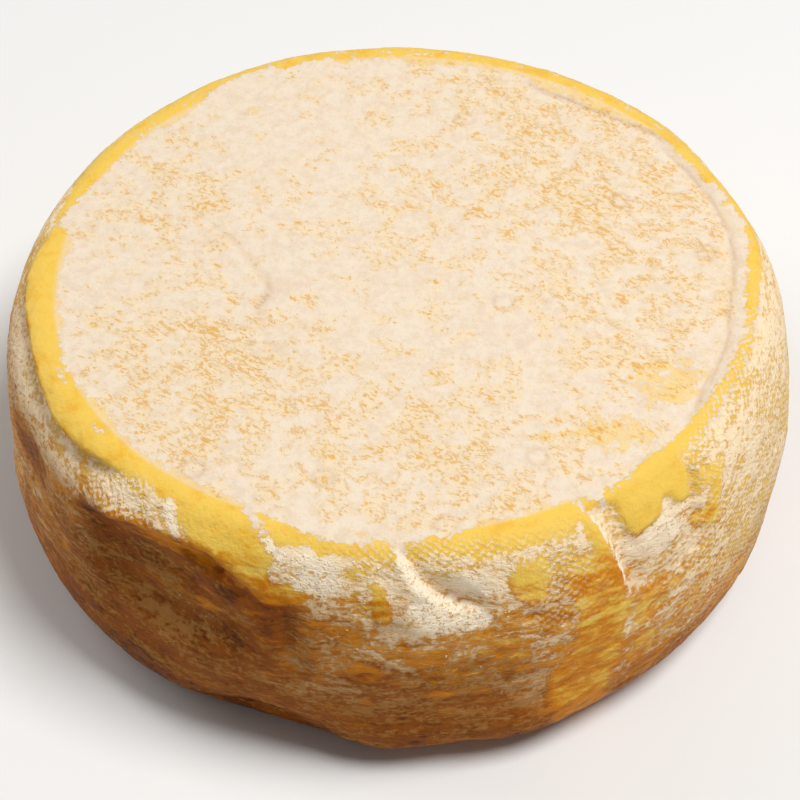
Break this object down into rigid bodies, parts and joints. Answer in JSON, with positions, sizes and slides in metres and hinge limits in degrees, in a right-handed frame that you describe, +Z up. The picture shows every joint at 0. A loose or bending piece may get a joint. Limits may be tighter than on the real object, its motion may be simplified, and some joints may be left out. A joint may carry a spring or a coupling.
{
  "type": "cheese wheel",
  "caption": "Small whole wheel of soft-ripened cheese: flat round top, bulging side with dents and a folded-over rind edge, flat base it rests on.",
  "frame": {"origin": "centre of the flat base the wheel stands on", "axes": "+Z up along the wheel's axis; -Y towards the side with the folded rind and the front dent; +X to the right seen from that side"},
  "size_m": [0.1404, 0.139, 0.0488],
  "materials": {
    "rind": "matte"
  },
  "bodies": {
    "root": {"cheese_wheel": "rind"}
  },
  "joints": []
}
